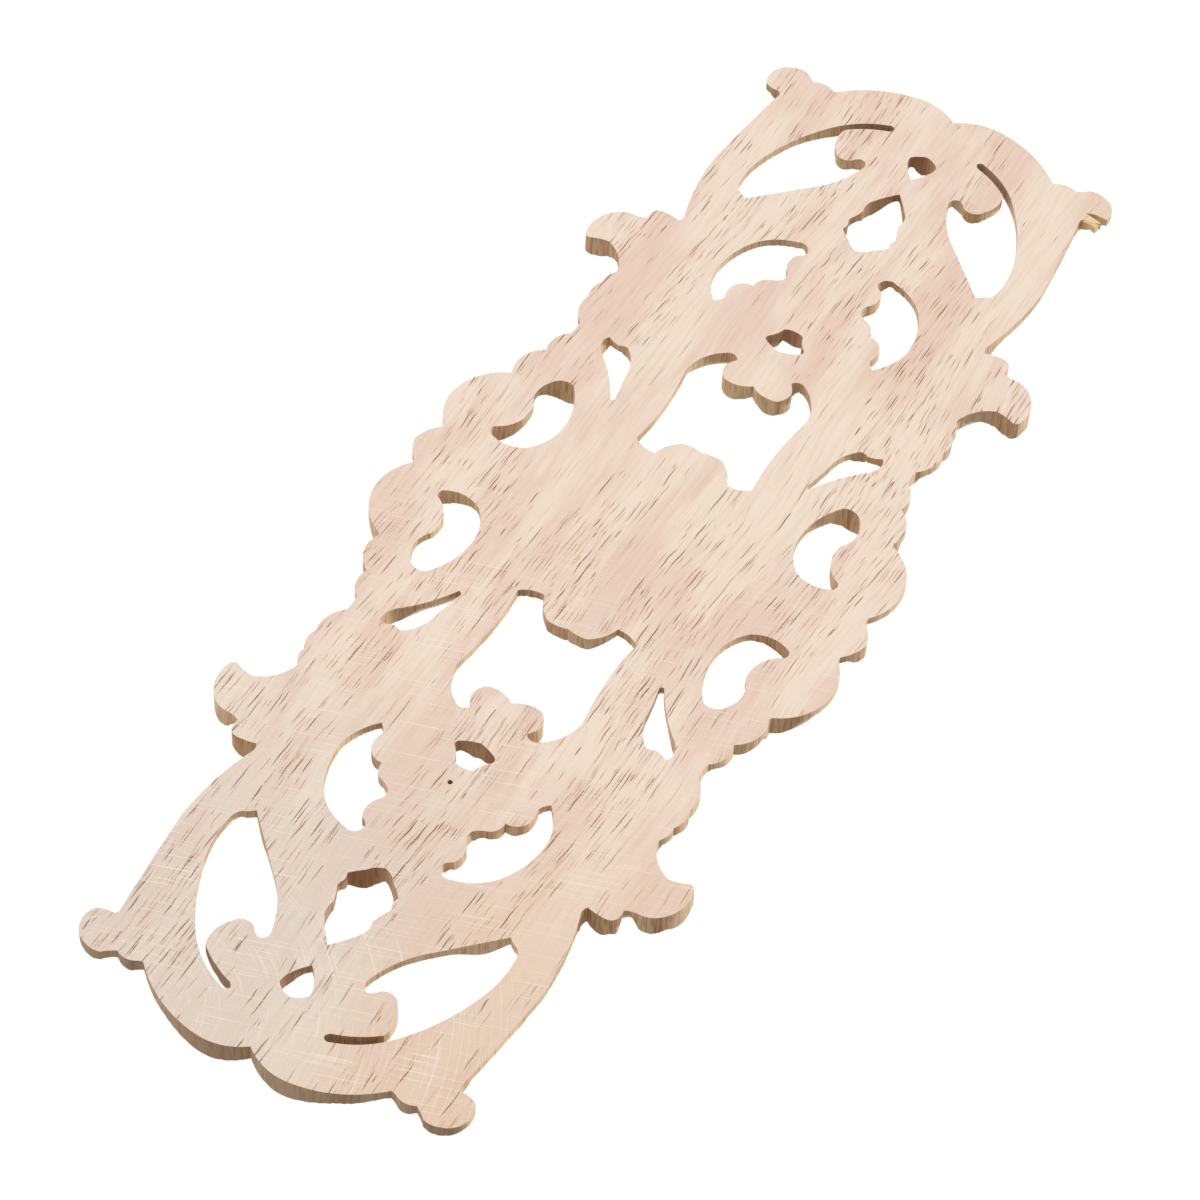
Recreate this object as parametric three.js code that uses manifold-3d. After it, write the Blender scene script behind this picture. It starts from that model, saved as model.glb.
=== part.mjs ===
// Carved wood applique: a long pierced scroll-and-leaf ornament with a flat back and a carved front.
// It hangs with its flat back on the plane y = 0, its length along X and its width along Z,
// and its carved front faces -Y. The origin is the centre of the flat back.
import * as THREE from 'three';
import { mergeVertices } from 'three/addons/utils/BufferGeometryUtils.js';
import Module from 'manifold-3d';

// Driving sizes, millimetres.
const LENGTH = 299; // end lobe to end lobe
const WIDTH = 108; // crest to crest
const THICKNESS = 8; // flat back to the top of the centre boss
const EDGE = 1.8; // thinnest carved edge
const GROUND_RISE = 0.9; // how far the ground between the strands stands above the edge
const GROUND_REACH = 3; // distance from the edge over which it rises
const FACET = 0.15; // how far a facet of the outline may stand off its arc
const CELL = 3.5; // facet of the carved front
const SPARE = 2; // how far the raw slabs pass the finished faces

// The ornament is drawn once for one quarter, on a drawing of this size, and mirrored twice.
const DRAWN_LENGTH = 298.6;
const DRAWN_WIDTH = 108;
const ALONG = LENGTH / DRAWN_LENGTH;
const ACROSS = WIDTH / DRAWN_WIDTH;

// An outline row is [x, z, rise]: where an arc ends, and how far its middle stands off the chord,
// more than 0 to the left of the way it is drawn. The first row is where the outline starts.
const RIM = {
  crest: [[0, 53.8, 0], [5.4, 50.8, 0.5], [6.6, 50.9, -0.1]],
  scrollTurn: [[26.3, 46.6, 5.0], [27.6, 46.3, -0.3]],
  leafTips: [[36.4, 43.1, 1.7], [43.4, 41.1, 1.25], [47.3, 41.0, -0.15]],
  outerLeafTips: [[55.2, 43.5, 1.2], [60.6, 42.9, 0.7], [64.6, 41.9, 0.5], [66.5, 42.4, -0.2]],
  hook: [
    [71.9, 48.0, -0.85], [70.8, 52.1, -0.2], [71.9, 53.7, 0.45], [80.2, 51.6, 1.15], [82.1, 47.2, 0.5],
  ],
  shoulder: [[82.8, 44.3, -0.2], [84.9, 44.3, 0.1], [86.3, 42.8, 0.3], [86.3, 40.8, 0.1]],
  armStart: [[85.8, 38, 0.1], [87.4, 37.5, -0.15]],
  arm: [[108, 40.8, 0.8], [133, 38.2, 0.15], [134.3, 39.2, -0.35]],
  horn: [[135.2, 42.5, 0.3], [142.9, 39.6, 2.1], [143.1, 36.0, 0.35], [141.2, 33.4, -0.1]],
  tooth: [[141.2, 28.9, 0.65], [140.9, 27.6, -0.1]],
  endLobe: [[149.3, 9.6, 1.75], [146.2, 0, 0.95]],
};

// Holes that stand clear of the long axis: one in each quarter.
const QUARTER_HOLES = {
  crescent: [
    [9.6, 41.2, 0], [11.6, 41.2, 0.35], [21, 37.2, -1.9], [28.6, 37.4, 1.3], [30.3, 32.7, 1.1],
    [19.5, 28.6, 0.95], [9.8, 32.3, 1.1], [8.5, 38.5, 0.6], [9.6, 41.2, 0.1],
  ],
  slit: [
    [31.2, 24.2, 0], [41.2, 31.8, -0.5], [44.6, 33.9, 0.4], [46.9, 33.3, 0.4], [45.8, 30.4, -0.2],
    [46.2, 28.4, 0.2], [39.5, 24.8, 0.7], [31.9, 23.3, -0.1], [31.2, 24.2, 0.3],
  ],
  scallopedOval: [
    [68.4, 19.6, 0], [76, 23.6, 0.6], [88.3, 20.6, 1.0], [93.9, 12.3, 1.0], [92.6, 9, 0.9],
    [91.2, 9.1, 0.2], [90.2, 10.5, 0.1], [85.2, 10.4, -0.7], [82, 9.6, 0.5], [80.4, 12.2, 0.2],
    [76.9, 14.2, -0.7], [74.4, 18.2, -0.8], [70.5, 18.0, -0.3], [68.4, 19.6, 0.2],
  ],
  teardrop: [
    [99.6, 28.9, 0], [101.2, 31.3, -0.1], [104, 32.4, 0.3], [113, 31.6, 0.4], [131, 22.2, 1.1],
    [137.7, 12.2, 0.8], [137, 10.5, 0.5], [136, 11.3, 0.1], [131.2, 20, -0.5], [124.2, 18.7, -0.95],
    [123.2, 14.1, -1.2], [124.6, 12.4, 0.2], [122.4, 10.8, 0.7], [110.5, 18, 1.0], [99.6, 28.9, 0],
  ],
};

// Holes on the long axis: half of each, from the axis to the axis, one towards each end.
const AXIS_HOLES = {
  window: [
    [28.1, 0, 0], [28.4, 4.6, -0.3], [22.9, 8.6, -0.7], [24.6, 14.0, 0.6], [31, 13.4, -0.1],
    [47.5, 14.6, -0.4], [56.3, 9.6, 1.2], [55.6, 6.6, 0.8], [53.6, 7.9, -0.1], [49.4, 6.3, -0.7],
    [50.7, 0, -0.8],
  ],
  spark: [[62.5, 0, 0], [64.2, 4.2, 0.2], [65.6, 4.3, 0.3], [69, 2.3, -0.3], [69.6, 0, 0.2]],
  acorn: [
    [98.3, 0, 0], [100.5, 3.1, 0.35], [103, 5.8, 0.1], [105, 5.5, -0.15], [106.6, 5.9, 0.15],
    [110.2, 4.5, -0.15], [113.6, 4.4, 0.3], [119.3, 0, 0.15],
  ],
  diamond: [[124.8, 0, 0], [128.2, 2.5, 0.2], [131.1, 3.3, 0.25], [133.1, 0, 0.3]],
};

// Raised strands of the front: a row is [x, z, half width, crown], the crown as a share of THICKNESS.
const STRANDS = {
  petalAlong: [[8, 0, 5.6, 0.8], [18, 0, 5.5, 0.7], [27.5, 0, 4.8, 0.5]],
  petalSlant: [[6, 7, 5.2, 0.8], [14, 13, 4.8, 0.72], [22, 19.5, 4.0, 0.6]],
  petalAcross: [[0, 9, 5.2, 0.8], [0, 18, 5.0, 0.72], [0, 27, 4.5, 0.6]],
  crestLeaf: [[0, 28, 5.6, 0.62], [0, 40, 6.2, 0.7], [0, 52.5, 4.0, 0.52]],
  crestScroll: [
    [46, 38.2, 2.6, 0.5], [38, 39.2, 3.1, 0.6], [31, 41.2, 3.4, 0.7], [25.5, 45.5, 3.4, 0.76],
    [18, 49.3, 3.4, 0.76], [11, 47.8, 3.1, 0.72], [8.8, 43.6, 2.6, 0.66],
  ],
  sweep: [
    [3, 23.5, 4.3, 0.55], [13, 24.4, 4.0, 0.6], [22, 24.4, 4.0, 0.63], [29.5, 28, 3.8, 0.68],
    [36, 32.6, 3.9, 0.7], [44, 36.4, 4.1, 0.7], [54, 38.4, 4.1, 0.72], [64, 38, 4.0, 0.76],
    [71.5, 40.5, 4.1, 0.82], [76.5, 45.5, 4.5, 0.86], [76.3, 50.5, 4.3, 0.86],
  ],
  backScroll: [
    [47.5, 27.5, 2.8, 0.45], [56, 28.6, 3.8, 0.6], [68, 30, 4.1, 0.68], [80, 30.6, 4.1, 0.72],
    [90, 28, 4.0, 0.72],
  ],
  diagonal: [
    [83, 43.5, 3.6, 0.8], [86, 36.5, 4.1, 0.8], [92, 29, 4.1, 0.75], [99, 22.3, 4.0, 0.69],
    [107, 15.2, 3.6, 0.63], [115.5, 9.4, 3.4, 0.59], [124, 6.6, 3.3, 0.57], [131.8, 8.8, 3.1, 0.6],
    [134, 13.4, 2.4, 0.62],
  ],
  armScroll: [
    [90, 33.5, 3.6, 0.62], [98, 35.6, 3.8, 0.63], [107, 36.7, 3.7, 0.61], [116, 35.8, 4.0, 0.59],
    [125.5, 32, 4.6, 0.57], [133.5, 26, 5.2, 0.58], [139.8, 18, 5.0, 0.64], [142.6, 9.4, 5.2, 0.74],
    [139.6, 3.4, 4.3, 0.64],
  ],
  windowFrame: [
    [23.5, 18, 4.1, 0.55], [32, 18.2, 4.1, 0.63], [42, 19, 4.2, 0.67], [50.5, 18.3, 4.0, 0.69],
    [57.4, 13.2, 3.4, 0.69], [60, 7, 3.1, 0.67], [57, 2.8, 3.4, 0.69],
  ],
  innerLeaf: [
    [52, 24, 3.4, 0.5], [60.5, 19.5, 4.5, 0.6], [68, 13, 4.5, 0.63], [77, 8.2, 4.1, 0.61],
    [87, 6.2, 3.6, 0.59], [97, 7.2, 3.6, 0.57], [106, 9.8, 2.9, 0.5],
  ],
  husk: [[70.5, 0, 3.6, 0.62], [84, 0, 4.1, 0.75], [98, 0, 3.6, 0.6]],
  neck: [[121.5, 0, 2.6, 0.42], [125, 0, 2.8, 0.3]],
  endSeam: [[133.5, 0, 3.4, 0.78], [143, 0, 3.3, 0.62]],
  hornLeaf: [[128.5, 34.5, 3.0, 0.42], [135, 37.6, 3.4, 0.42], [139, 39.2, 3.6, 0.42]],
};

// Round knobs of the front: [x, z, radius, crown].
const KNOBS = {
  boss: [0, 0, 11.5, 1],
  crestEye: [16.3, 44.3, 6.6, 0.9],
  hookEye: [75.4, 50.2, 5.4, 0.9],
  bud: [53, 4.2, 5.6, 0.8],
  endEye: [129.3, 14.6, 6.3, 0.7],
};

// Places where a strand is cut across, so that its edge stands higher: [x, z, reach, height].
const HIGH_EDGES = {
  hookTip: [71.5, 50.5, 4, 0.7],
  hookBack: [81.5, 49.5, 4, 0.68],
  shoulderTooth: [86.2, 40.5, 3, 0.76],
  leafTip: [36, 44.5, 3.5, 0.42],
  outerLeafTip: [57, 43.5, 4, 0.38],
  crescentEnd: [30.5, 34.5, 3, 0.82],
  crescentTip: [11.5, 41, 4, 0.6],
  windowCorner: [24, 11, 2.6, 0.3],
  windowTongue: [28.3, 3, 3, 0.46],
  budWall: [49.5, 4.5, 3, 0.62],
  sparkBase: [62.8, 0.5, 2.4, 0.66],
  sparkWall: [66.5, 3.2, 2.6, 0.56],
  acornCap: [100.6, 2.8, 3.2, 0.8],
  acornSide: [113.8, 4, 2.8, 0.55],
  diamondWall: [129.5, 3, 2.4, 0.47],
  endLobeWall: [149, 8, 9, 0.68],
  endLobeSide: [146, 20, 5, 0.42],
  hornWall: [142.8, 38.5, 3, 0.38],
  toothWall: [141.3, 30.5, 2.2, 0.45],
  teardropSide: [103, 25.3, 3.2, 0.5],
  eyeWall: [123.5, 16.2, 2.6, 0.4],
  scallopWall: [77, 15.6, 4, 0.4],
  scallopFoot: [86, 10.6, 4, 0.4],
};

const wasm = await Module();
wasm.setup();

/** Where a drawn place lies on the real piece. */
function placed(x, z) {
  return new THREE.Vector2(x * ALONG, z * ACROSS);
}

/** The points of an outline of arcs, as many on each arc as its bend needs. */
function traceArcs(rows) {
  const points = [placed(rows[0][0], rows[0][1])];
  for (let i = 1; i < rows.length; i += 1) {
    const [x, z, rise] = rows[i];
    const from = points[points.length - 1].clone();
    const to = placed(x, z);
    const chord = from.distanceTo(to);
    const way = to.clone().sub(from).divideScalar(chord);
    const left = new THREE.Vector2(-way.y, way.x);
    const height = Math.abs(rise);
    const steps = Math.max(1, Math.round(Math.sqrt(height / FACET)));
    for (let k = 1; k <= steps; k += 1) {
      if (height === 0) {
        points.push(from.clone().lerp(to, k / steps));
        continue;
      }
      const radius = (chord * chord / 4 + height * height) / (2 * height);
      const drop = radius - height;
      const half = Math.atan2(chord / 2, drop);
      const angle = half * (2 * k / steps - 1);
      const along = chord / 2 + radius * Math.sin(angle);
      const off = Math.sign(rise) * (radius * Math.cos(angle) - drop);
      points.push(from.clone().addScaledVector(way, along).addScaledVector(left, off));
    }
  }
  return points;
}

/** A copy of points with either sign turned, kept in the order that goes round the same way. */
function mirrored(points, signX, signZ) {
  const copy = points.map((p) => new THREE.Vector2(p.x * signX, p.y * signZ));
  return signX * signZ < 0 ? copy.reverse() : copy;
}

/** The four quarters of the rim, joined into one outline. */
function rimOutline() {
  const quarter = traceArcs(Object.values(RIM).flat());
  const turns = [[1, 1], [1, -1], [-1, -1], [-1, 1]];
  return turns.flatMap(([sx, sz]) => mirrored(quarter, sx, sz).slice(0, -1));
}

/** Every hole of the piece, as outlines. */
function holeOutlines() {
  const holes = [];
  for (const rows of Object.values(QUARTER_HOLES)) {
    const outline = traceArcs(rows).slice(0, -1);
    for (const sx of [1, -1]) {
      for (const sz of [1, -1]) holes.push(mirrored(outline, sx, sz));
    }
  }
  for (const rows of Object.values(AXIS_HOLES)) {
    const half = traceArcs(rows);
    const whole = [...half, ...mirrored(half, 1, -1).slice(1, -1)];
    for (const sx of [1, -1]) holes.push(mirrored(whole, sx, 1));
  }
  return holes;
}

/** Nearest distance from a place to a line of points, and how far along it that is, from 0 to 1. */
function nearestOn(line, x, z) {
  let best = { distance: Infinity, at: 0 };
  for (let i = 1; i < line.length; i += 1) {
    const a = line[i - 1];
    const b = line[i];
    const dx = b.x - a.x;
    const dz = b.y - a.y;
    const share = THREE.MathUtils.clamp(((x - a.x) * dx + (z - a.y) * dz) / (dx * dx + dz * dz), 0, 1);
    const distance = Math.hypot(x - a.x - dx * share, z - a.y - dz * share);
    if (distance < best.distance) best = { distance, at: (i - 1 + share) / (line.length - 1) };
  }
  return best;
}

const STEPS_PER_SPAN = 5;
const strands = Object.values(STRANDS).map((rows) => ({
  rows,
  line: new THREE.SplineCurve(rows.map(([x, z]) => placed(x, z)))
    .getPoints(STEPS_PER_SPAN * (rows.length - 1)),
}));

/** A value between the rows of a strand, at a share of its way. */
function along(rows, at, column) {
  const place = at * (rows.length - 1);
  const i = Math.min(rows.length - 2, Math.floor(place));
  return THREE.MathUtils.lerp(rows[i][column], rows[i + 1][column], place - i);
}

/** The larger of two heights, eased where they meet. */
function easedMax(a, b) {
  const ease = 0.5;
  const overlap = Math.max(0, ease - Math.abs(a - b)) / ease;
  return Math.max(a, b) + overlap * overlap * ease / 4;
}

/** A rounded section: 1 on the middle line, 0 at the half width and beyond. */
function roundSection(distance, halfWidth) {
  const share = Math.min(1, distance / halfWidth);
  return (1 - share * share) ** 0.7;
}

/** Height of the edge near a place, raised where a strand is cut across. */
function edgeHeight(x, z) {
  let height = EDGE;
  for (const [cx, cz, reach, share] of Object.values(HIGH_EDGES)) {
    const c = placed(cx, cz);
    const away = Math.hypot(x - c.x, z - c.y) / reach;
    height = Math.max(height, EDGE + (share * THICKNESS - EDGE) * Math.exp(-away * away / 2));
  }
  return height;
}

const outline = rimOutline();
const holes = holeOutlines();
const edges = [outline, ...holes].map((loop) => [...loop, loop[0]]);

/** Height of the carved front above the flat back. */
function frontHeight(px, pz) {
  const x = Math.abs(px);
  const z = Math.abs(pz);
  const toEdge = Math.min(...edges.map((loop) => nearestOn(loop, px, pz).distance));
  const edge = edgeHeight(x, z);
  let height = edge + GROUND_RISE * Math.min(1, toEdge / GROUND_REACH);
  for (const { rows, line } of strands) {
    const near = nearestOn(line, x, z);
    const crown = along(rows, near.at, 3) * THICKNESS;
    const section = roundSection(near.distance, along(rows, near.at, 2));
    height = easedMax(height, EDGE + (crown - EDGE) * section);
  }
  for (const [cx, cz, radius, share] of Object.values(KNOBS)) {
    const c = placed(cx, cz);
    const section = roundSection(Math.hypot(x - c.x, z - c.y), radius);
    height = easedMax(height, EDGE + (share * THICKNESS - EDGE) * section);
  }
  return Math.min(height, THICKNESS);
}

/** A closed mesh with its shared points merged, as a solid for joins and cuts. */
function solidFrom(geometry) {
  geometry.deleteAttribute('normal');
  geometry.deleteAttribute('uv');
  const merged = mergeVertices(geometry);
  return new wasm.Manifold(new wasm.Mesh({
    numProp: 3,
    vertProperties: merged.attributes.position.array,
    triVerts: new Uint32Array(merged.index.array),
  }));
}

/** The pierced outline, cut straight through a board. */
function piercedBoard() {
  const shape = new THREE.Shape(outline);
  shape.holes = holes.map((points) => new THREE.Path(points.slice().reverse()));
  return solidFrom(new THREE.ExtrudeGeometry(shape, { depth: THICKNESS + SPARE, bevelEnabled: false }));
}

/** Splits each cell of a face along its crest or valley, so that no crest is cut into steps. */
function splitAlongCrests(geometry, group) {
  const { index } = geometry;
  const height = geometry.attributes.position;
  for (let i = group.start; i < group.start + group.count; i += 6) {
    const [a, b, d] = [index.getX(i), index.getX(i + 1), index.getX(i + 2)];
    const c = index.getX(i + 4);
    const acrossAC = Math.abs(height.getZ(a) - height.getZ(c));
    const acrossBD = Math.abs(height.getZ(b) - height.getZ(d));
    if (acrossAC < acrossBD) [a, b, c, a, c, d].forEach((vertex, k) => index.setX(i + k, vertex));
  }
}

/** A slab whose upper face is the carved front. */
function carvedSlab() {
  const drawn = new THREE.Box2().setFromPoints(outline).getSize(new THREE.Vector2());
  const length = drawn.x + 2 * SPARE;
  const width = drawn.y + 2 * SPARE;
  const cellsAlong = 2 * Math.round(length / CELL / 2);
  const cellsAcross = 2 * Math.round(width / CELL / 2);
  const slab = new THREE.BoxGeometry(length, width, 2 * THICKNESS, cellsAlong, cellsAcross, 1);
  const position = slab.attributes.position;
  for (let i = 0; i < position.count; i += 1) {
    const upper = position.getZ(i) > 0;
    position.setZ(i, upper ? frontHeight(position.getX(i), position.getY(i)) : -SPARE);
  }
  splitAlongCrests(slab, slab.groups[4]);
  return solidFrom(slab);
}

/** The finished piece as one mesh, turned so that the carved front faces -Y. */
function carvedApplique() {
  const carved = piercedBoard().intersect(carvedSlab());
  const { vertProperties, triVerts } = carved.getMesh();
  const geometry = new THREE.BufferGeometry();
  geometry.setAttribute('position', new THREE.BufferAttribute(new Float32Array(vertProperties), 3));
  geometry.setIndex(new THREE.BufferAttribute(new Uint32Array(triVerts), 1));
  geometry.rotateX(Math.PI / 2);
  const wood = new THREE.MeshStandardMaterial({ color: 0xe6d3c0, roughness: 0.75, metalness: 0 });
  const mesh = new THREE.Mesh(geometry, wood);
  mesh.name = 'carved_applique';
  return mesh;
}

const group = new THREE.Group();
group.add(carvedApplique());
export default group;
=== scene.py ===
import logging
import math
from dataclasses import dataclass, field
from enum import Enum
from typing import Any

import bpy
import numpy as np
from mathutils import Color, Matrix, Vector


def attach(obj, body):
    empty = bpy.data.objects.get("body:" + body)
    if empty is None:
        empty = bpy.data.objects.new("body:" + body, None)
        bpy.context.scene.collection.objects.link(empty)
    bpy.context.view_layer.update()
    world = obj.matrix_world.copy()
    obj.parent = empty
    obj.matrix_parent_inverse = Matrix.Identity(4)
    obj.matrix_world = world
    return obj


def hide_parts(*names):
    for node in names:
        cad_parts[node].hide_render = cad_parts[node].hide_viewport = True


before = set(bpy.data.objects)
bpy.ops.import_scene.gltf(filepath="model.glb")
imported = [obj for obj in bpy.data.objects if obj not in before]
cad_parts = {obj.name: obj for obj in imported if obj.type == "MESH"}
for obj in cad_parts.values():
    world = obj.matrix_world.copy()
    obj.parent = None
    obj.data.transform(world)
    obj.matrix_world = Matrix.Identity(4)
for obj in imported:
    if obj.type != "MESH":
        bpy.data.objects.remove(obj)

LOG = logging.getLogger("applique")
MM = 0.001
BODY = "root"
NODE = "carved_applique"
HOLLOW_SHADE = "hollow"
WAY = "way"
LONGEST_FACET = 0.8
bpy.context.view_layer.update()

Row = tuple[float, ...]
Rows = list[Row]
Wires = dict[int | str, Any]
Socket = bpy.types.NodeSocket
Thing = bpy.types.Object
Array = np.ndarray

# One quarter of the outline, in millimetres along and across. A row is (x, z, rise): where an arc ends,
# and how far its middle stands off the chord, more than 0 to the left of the way it is drawn.
RIM: dict[str, Rows] = {
    "crest": [(0, 53.8, 0), (5.4, 50.8, 0.5), (6.6, 50.9, -0.1)],
    "scroll_turn": [(26.3, 46.6, 5.0), (27.6, 46.3, -0.3)],
    "leaf_tips": [(36.4, 43.1, 1.7), (43.4, 41.1, 1.25), (47.3, 41.0, -0.15)],
    "outer_leaf_tips": [(55.2, 43.5, 1.2), (60.6, 42.9, 0.7), (64.6, 41.9, 0.5), (66.5, 42.4, -0.2)],
    "hook": [
        (71.9, 48.0, -0.85), (70.8, 52.1, -0.2), (71.9, 53.7, 0.45), (80.2, 51.6, 1.15), (82.1, 47.2, 0.5),
    ],
    "shoulder": [(82.8, 44.3, -0.2), (84.9, 44.3, 0.1), (86.3, 42.8, 0.3), (86.3, 40.8, 0.1)],
    "arm_start": [(85.8, 38, 0.1), (87.4, 37.5, -0.15)],
    "arm": [(108, 40.8, 0.8), (133, 38.2, 0.15), (134.3, 39.2, -0.35)],
    "horn": [(135.2, 42.5, 0.3), (142.9, 39.6, 2.1), (143.1, 36.0, 0.35), (141.2, 33.4, -0.1)],
    "tooth": [(141.2, 28.9, 0.65), (140.9, 27.6, -0.1)],
    "end_lobe": [(149.3, 9.6, 1.75), (146.2, 0, 0.95)],
}

# Holes that stand clear of the long middle line: one in each quarter.
QUARTER_HOLES: dict[str, Rows] = {
    "crescent": [
        (9.6, 41.2, 0), (11.6, 41.2, 0.35), (21, 37.2, -1.9), (28.6, 37.4, 1.3), (30.3, 32.7, 1.1),
        (19.5, 28.6, 0.95), (9.8, 32.3, 1.1), (8.5, 38.5, 0.6), (9.6, 41.2, 0.1),
    ],
    "slit": [
        (31.2, 24.2, 0), (41.2, 31.8, -0.5), (44.6, 33.9, 0.4), (46.9, 33.3, 0.4), (45.8, 30.4, -0.2),
        (46.2, 28.4, 0.2), (39.5, 24.8, 0.7), (31.9, 23.3, -0.1), (31.2, 24.2, 0.3),
    ],
    "scalloped_oval": [
        (68.4, 19.6, 0), (76, 23.6, 0.6), (88.3, 20.6, 1.0), (93.9, 12.3, 1.0), (92.6, 9, 0.9),
        (91.2, 9.1, 0.2), (90.2, 10.5, 0.1), (85.2, 10.4, -0.7), (82, 9.6, 0.5), (80.4, 12.2, 0.2),
        (76.9, 14.2, -0.7), (74.4, 18.2, -0.8), (70.5, 18.0, -0.3), (68.4, 19.6, 0.2),
    ],
    "teardrop": [
        (99.6, 28.9, 0), (101.2, 31.3, -0.1), (104, 32.4, 0.3), (113, 31.6, 0.4), (131, 22.2, 1.1),
        (137.7, 12.2, 0.8), (137, 10.5, 0.5), (136, 11.3, 0.1), (131.2, 20, -0.5), (124.2, 18.7, -0.95),
        (123.2, 14.1, -1.2), (124.6, 12.4, 0.2), (122.4, 10.8, 0.7), (110.5, 18, 1.0), (99.6, 28.9, 0),
    ],
}

# Holes on the long middle line: half of each, from the line to the line, one towards each end.
MIDDLE_HOLES: dict[str, Rows] = {
    "window": [
        (28.1, 0, 0), (28.4, 4.6, -0.3), (22.9, 8.6, -0.7), (24.6, 14.0, 0.6), (31, 13.4, -0.1),
        (47.5, 14.6, -0.4), (56.3, 9.6, 1.2), (55.6, 6.6, 0.8), (53.6, 7.9, -0.1), (49.4, 6.3, -0.7),
        (50.7, 0, -0.8),
    ],
    "spark": [(62.5, 0, 0), (64.2, 4.2, 0.2), (65.6, 4.3, 0.3), (69, 2.3, -0.3), (69.6, 0, 0.2)],
    "acorn": [
        (98.3, 0, 0), (100.5, 3.1, 0.35), (103, 5.8, 0.1), (105, 5.5, -0.15), (106.6, 5.9, 0.15),
        (110.2, 4.5, -0.15), (113.6, 4.4, 0.3), (119.3, 0, 0.15),
    ],
    "diamond": [(124.8, 0, 0), (128.2, 2.5, 0.2), (131.1, 3.3, 0.25), (133.1, 0, 0.3)],
}


class Section(Enum):
    """How a raised strand of the front is cut across its width."""

    PLAIN = "plain"
    CHANNEL = "channel"
    LEAF = "leaf"


# Raised strands of the front: a row is (x, z, half width, crown), the crown as a share of the thickness.
STRANDS: dict[str, tuple[Section, Rows]] = {
    "petal_along": (Section.LEAF, [(8, 0, 5.6, 0.8), (18, 0, 5.5, 0.7), (27.5, 0, 4.8, 0.5)]),
    "petal_slant": (Section.LEAF, [(6, 7, 5.2, 0.8), (14, 13, 4.8, 0.72), (22, 19.5, 4.0, 0.6)]),
    "petal_across": (Section.LEAF, [(0, 9, 5.2, 0.8), (0, 18, 5.0, 0.72), (0, 27, 4.5, 0.6)]),
    "crest_leaf": (Section.LEAF, [(0, 28, 5.6, 0.62), (0, 40, 6.2, 0.7), (0, 52.5, 4.0, 0.52)]),
    "crest_scroll": (Section.CHANNEL, [
        (46, 38.2, 2.6, 0.5), (38, 39.2, 3.1, 0.6), (31, 41.2, 3.4, 0.7), (25.5, 45.5, 3.4, 0.76),
        (18, 49.3, 3.4, 0.76), (11, 47.8, 3.1, 0.72), (8.8, 43.6, 2.6, 0.66),
    ]),
    "sweep": (Section.CHANNEL, [
        (3, 23.5, 4.3, 0.55), (13, 24.4, 4.0, 0.6), (22, 24.4, 4.0, 0.63), (29.5, 28, 3.8, 0.68),
        (36, 32.6, 3.9, 0.7), (44, 36.4, 4.1, 0.7), (54, 38.4, 4.1, 0.72), (64, 38, 4.0, 0.76),
        (71.5, 40.5, 4.1, 0.82), (76.5, 45.5, 4.5, 0.86), (76.3, 50.5, 4.3, 0.86),
    ]),
    "back_scroll": (Section.CHANNEL, [
        (47.5, 27.5, 2.8, 0.45), (56, 28.6, 3.8, 0.6), (68, 30, 4.1, 0.68), (80, 30.6, 4.1, 0.72),
        (90, 28, 4.0, 0.72),
    ]),
    "diagonal": (Section.CHANNEL, [
        (83, 43.5, 3.6, 0.8), (86, 36.5, 4.1, 0.8), (92, 29, 4.1, 0.75), (99, 22.3, 4.0, 0.69),
        (107, 15.2, 3.6, 0.63), (115.5, 9.4, 3.4, 0.59), (124, 6.6, 3.3, 0.57), (131.8, 8.8, 3.1, 0.6),
        (134, 13.4, 2.4, 0.62),
    ]),
    "arm_scroll": (Section.CHANNEL, [
        (90, 33.5, 3.6, 0.62), (98, 35.6, 3.8, 0.63), (107, 36.7, 3.7, 0.61), (116, 35.8, 4.0, 0.59),
        (125.5, 32, 4.6, 0.57), (133.5, 26, 5.2, 0.58), (139.8, 18, 5.0, 0.64), (142.6, 9.4, 5.2, 0.74),
        (139.6, 3.4, 4.3, 0.64),
    ]),
    "window_frame": (Section.PLAIN, [
        (23.5, 18, 4.1, 0.55), (32, 18.2, 4.1, 0.63), (42, 19, 4.2, 0.67), (50.5, 18.3, 4.0, 0.69),
        (57.4, 13.2, 3.4, 0.69), (60, 7, 3.1, 0.67), (57, 2.8, 3.4, 0.69),
    ]),
    "inner_leaf": (Section.LEAF, [
        (52, 24, 3.4, 0.5), (60.5, 19.5, 4.5, 0.6), (68, 13, 4.5, 0.63), (77, 8.2, 4.1, 0.61),
        (87, 6.2, 3.6, 0.59), (97, 7.2, 3.6, 0.57), (106, 9.8, 2.9, 0.5),
    ]),
    "husk": (Section.LEAF, [(70.5, 0, 3.6, 0.62), (84, 0, 4.1, 0.75), (98, 0, 3.6, 0.6)]),
    "neck": (Section.PLAIN, [(121.5, 0, 2.6, 0.42), (125, 0, 2.8, 0.3)]),
    "end_seam": (Section.LEAF, [(133.5, 0, 3.4, 0.78), (143, 0, 3.3, 0.62)]),
    "horn_leaf": (Section.PLAIN, [(128.5, 34.5, 3.0, 0.42), (135, 37.6, 3.4, 0.42), (139, 39.2, 3.6, 0.42)]),
}

# Round knobs of the front: (x, z, radius, crown).
KNOBS: dict[str, Row] = {
    "boss": (0, 0, 11.5, 1),
    "crest_eye": (16.3, 44.3, 6.6, 0.9),
    "hook_eye": (75.4, 50.2, 5.4, 0.9),
    "bud": (53, 4.2, 5.6, 0.8),
    "end_eye": (129.3, 14.6, 6.3, 0.7),
}

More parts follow.
